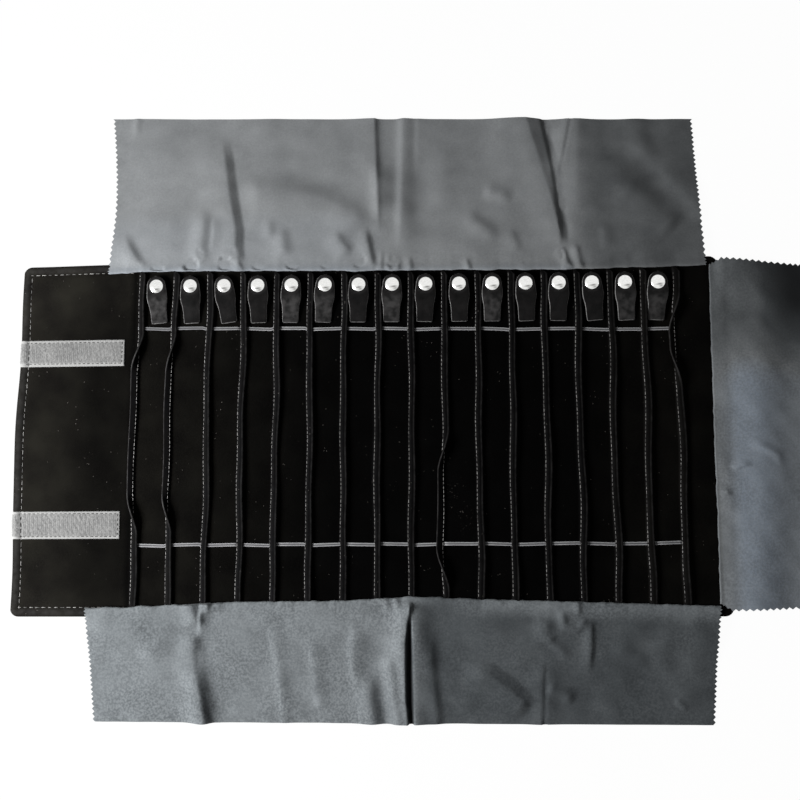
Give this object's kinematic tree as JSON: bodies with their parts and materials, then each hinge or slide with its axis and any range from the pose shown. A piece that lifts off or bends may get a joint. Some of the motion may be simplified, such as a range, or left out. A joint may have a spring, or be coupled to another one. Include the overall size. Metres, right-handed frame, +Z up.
{
  "type": "jewelry roll",
  "caption": "Padded velvet jewelry roll laid open, with pleated lanes, snap straps, elastic bands, cloth dust flaps and a hook-and-loop closure panel that fold together.",
  "frame": {"origin": "on the table, under the middle of the sheet's length and width", "axes": "+X along the roll towards the end flap, +Y along the lanes towards the snaps, +Z up out of the lining"},
  "size_m": [0.6188, 0.445, 0.0086],
  "materials": {
    "cover": "matt black leatherette",
    "padding": "grey felt interlining",
    "velvet": "black velvet pile",
    "dust_cloth": "grey brushed cloth with pinked edges",
    "elastic": "grey woven elastic",
    "strap_leather": "charcoal grained leatherette",
    "snap_metal": "polished silver plate",
    "loop_tape": "light grey loop pile",
    "hook_tape": "light grey hook tape"
  },
  "bodies": {
    "left_section": {"left_cover": "cover", "left_padding": "padding", "left_lining": "velvet", "left_elastic_upper": "elastic", "left_elastic_lower": "elastic"},
    "middle_section": {"middle_cover": "cover", "middle_padding": "padding", "middle_lining": "velvet", "middle_elastic_upper": "elastic", "middle_elastic_lower": "elastic", "hook_strip_upper": "hook_tape", "hook_strip_lower": "hook_tape"},
    "right_section": {"right_cover": "cover", "right_padding": "padding", "right_lining": "velvet", "right_elastic_upper": "elastic", "right_elastic_lower": "elastic"},
    "closure_panel": {"closure_cover": "cover", "closure_lining": "velvet", "loop_strip_upper": "loop_tape", "loop_strip_lower": "loop_tape"},
    "left_top_flap": {"left_top_flap": "dust_cloth"},
    "left_bottom_flap": {"left_bottom_flap": "dust_cloth"},
    "middle_top_flap": {"middle_top_flap": "dust_cloth"},
    "middle_bottom_flap": {"middle_bottom_flap": "dust_cloth"},
    "right_top_flap": {"right_top_flap": "dust_cloth"},
    "right_bottom_flap": {"right_bottom_flap": "dust_cloth"},
    "end_flap": {"end_flap": "dust_cloth"},
    "strap_01": {"snap_strap_01": "strap_leather", "snap_cap_01": "snap_metal"},
    "strap_02": {"snap_strap_02": "strap_leather", "snap_cap_02": "snap_metal"},
    "strap_03": {"snap_strap_03": "strap_leather", "snap_cap_03": "snap_metal"},
    "strap_04": {"snap_strap_04": "strap_leather", "snap_cap_04": "snap_metal"},
    "strap_05": {"snap_strap_05": "strap_leather", "snap_cap_05": "snap_metal"},
    "strap_06": {"snap_strap_06": "strap_leather", "snap_cap_06": "snap_metal"},
    "strap_07": {"snap_strap_07": "strap_leather", "snap_cap_07": "snap_metal"},
    "strap_08": {"snap_strap_08": "strap_leather", "snap_cap_08": "snap_metal"},
    "strap_09": {"snap_strap_09": "strap_leather", "snap_cap_09": "snap_metal"},
    "strap_10": {"snap_strap_10": "strap_leather", "snap_cap_10": "snap_metal"},
    "strap_11": {"snap_strap_11": "strap_leather", "snap_cap_11": "snap_metal"},
    "strap_12": {"snap_strap_12": "strap_leather", "snap_cap_12": "snap_metal"},
    "strap_13": {"snap_strap_13": "strap_leather", "snap_cap_13": "snap_metal"},
    "strap_14": {"snap_strap_14": "strap_leather", "snap_cap_14": "snap_metal"},
    "strap_15": {"snap_strap_15": "strap_leather", "snap_cap_15": "snap_metal"},
    "strap_16": {"snap_strap_16": "strap_leather", "snap_cap_16": "snap_metal"}
  },
  "joints": [
    {"name": "closure_fold", "type": "hinge", "parent": "left_section", "child": "closure_panel", "pos_m": [-0.176, 0, 0.02365], "axis": [0, -1, 0], "range_deg": [-179.99, 0]},
    {"name": "middle_fold", "type": "hinge", "parent": "left_section", "child": "middle_section", "pos_m": [-0.01247, 0, 0.0218], "axis": [0, 1, 0], "range_deg": [-179.99, 0]},
    {"name": "right_fold", "type": "hinge", "parent": "middle_section", "child": "right_section", "pos_m": [0.13553, 0, 0.0152], "axis": [0, 1, 0], "range_deg": [-179.99, 0]},
    {"name": "end_flap_fold", "type": "hinge", "parent": "right_section", "child": "end_flap", "pos_m": [0.2515, 0, 0.0086], "axis": [0, 1, 0], "range_deg": [-179.99, 0]},
    {"name": "left_top_flap_fold", "type": "hinge", "parent": "left_section", "child": "left_top_flap", "pos_m": [0, 0.1215, 0.00645], "axis": [-1, 0, 0], "range_deg": [-179.99, 0]},
    {"name": "left_bottom_flap_fold", "type": "hinge", "parent": "left_section", "child": "left_bottom_flap", "pos_m": [0, -0.1215, 0.00645], "axis": [1, 0, 0], "range_deg": [-179.99, 0]},
    {"name": "middle_top_flap_fold", "type": "hinge", "parent": "middle_section", "child": "middle_top_flap", "pos_m": [0, 0.1215, 0.00645], "axis": [-1, 0, 0], "range_deg": [-179.99, 0]},
    {"name": "middle_bottom_flap_fold", "type": "hinge", "parent": "middle_section", "child": "middle_bottom_flap", "pos_m": [0, -0.1215, 0.00645], "axis": [1, 0, 0], "range_deg": [-179.99, 0]},
    {"name": "right_top_flap_fold", "type": "hinge", "parent": "right_section", "child": "right_top_flap", "pos_m": [0, 0.1215, 0.00645], "axis": [-1, 0, 0], "range_deg": [-179.99, 0]},
    {"name": "right_bottom_flap_fold", "type": "hinge", "parent": "right_section", "child": "right_bottom_flap", "pos_m": [0, -0.1215, 0.00645], "axis": [1, 0, 0], "range_deg": [-179.99, 0]},
    {"name": "snap_01", "type": "hinge", "parent": "left_section", "child": "strap_01", "pos_m": [-0.1568, 0.0854, 0.00385], "axis": [1, 0, 0], "range_deg": [0, 150]},
    {"name": "snap_02", "type": "hinge", "parent": "left_section", "child": "strap_02", "pos_m": [-0.13106, 0.08519, 0.00385], "axis": [1, 0, 0], "range_deg": [0, 150]},
    {"name": "snap_03", "type": "hinge", "parent": "left_section", "child": "strap_03", "pos_m": [-0.10545, 0.08497, 0.00385], "axis": [1, 0, 0], "range_deg": [0, 150]},
    {"name": "snap_04", "type": "hinge", "parent": "left_section", "child": "strap_04", "pos_m": [-0.07998, 0.08476, 0.00385], "axis": [1, 0, 0], "range_deg": [0, 150]},
    {"name": "snap_05", "type": "hinge", "parent": "left_section", "child": "strap_05", "pos_m": [-0.05464, 0.08455, 0.00385], "axis": [1, 0, 0], "range_deg": [0, 150]},
    {"name": "snap_06", "type": "hinge", "parent": "left_section", "child": "strap_06", "pos_m": [-0.02944, 0.08433, 0.00385], "axis": [1, 0, 0], "range_deg": [0, 150]},
    {"name": "snap_07", "type": "hinge", "parent": "middle_section", "child": "strap_07", "pos_m": [-0.00437, 0.08412, 0.00385], "axis": [1, 0, 0], "range_deg": [0, 150]},
    {"name": "snap_08", "type": "hinge", "parent": "middle_section", "child": "strap_08", "pos_m": [0.02057, 0.08391, 0.00385], "axis": [1, 0, 0], "range_deg": [0, 150]},
    {"name": "snap_09", "type": "hinge", "parent": "middle_section", "child": "strap_09", "pos_m": [0.04537, 0.08369, 0.00385], "axis": [1, 0, 0], "range_deg": [0, 150]},
    {"name": "snap_10", "type": "hinge", "parent": "middle_section", "child": "strap_10", "pos_m": [0.07003, 0.08348, 0.00385], "axis": [1, 0, 0], "range_deg": [0, 150]},
    {"name": "snap_11", "type": "hinge", "parent": "middle_section", "child": "strap_11", "pos_m": [0.09456, 0.08327, 0.00385], "axis": [1, 0, 0], "range_deg": [0, 150]},
    {"name": "snap_12", "type": "hinge", "parent": "middle_section", "child": "strap_12", "pos_m": [0.11896, 0.08305, 0.00385], "axis": [1, 0, 0], "range_deg": [0, 150]},
    {"name": "snap_13", "type": "hinge", "parent": "right_section", "child": "strap_13", "pos_m": [0.14322, 0.08284, 0.00385], "axis": [1, 0, 0], "range_deg": [0, 150]},
    {"name": "snap_14", "type": "hinge", "parent": "right_section", "child": "strap_14", "pos_m": [0.16735, 0.08263, 0.00385], "axis": [1, 0, 0], "range_deg": [0, 150]},
    {"name": "snap_15", "type": "hinge", "parent": "right_section", "child": "strap_15", "pos_m": [0.19134, 0.08241, 0.00385], "axis": [1, 0, 0], "range_deg": [0, 150]},
    {"name": "snap_16", "type": "hinge", "parent": "right_section", "child": "strap_16", "pos_m": [0.2152, 0.0822, 0.00385], "axis": [1, 0, 0], "range_deg": [0, 150]}
  ],
  "couplings": [
    {"joint": "middle_top_flap_fold", "follows": "left_top_flap_fold", "ratio": 1},
    {"joint": "right_top_flap_fold", "follows": "left_top_flap_fold", "ratio": 1},
    {"joint": "middle_bottom_flap_fold", "follows": "left_bottom_flap_fold", "ratio": 1},
    {"joint": "right_bottom_flap_fold", "follows": "left_bottom_flap_fold", "ratio": 1}
  ]
}
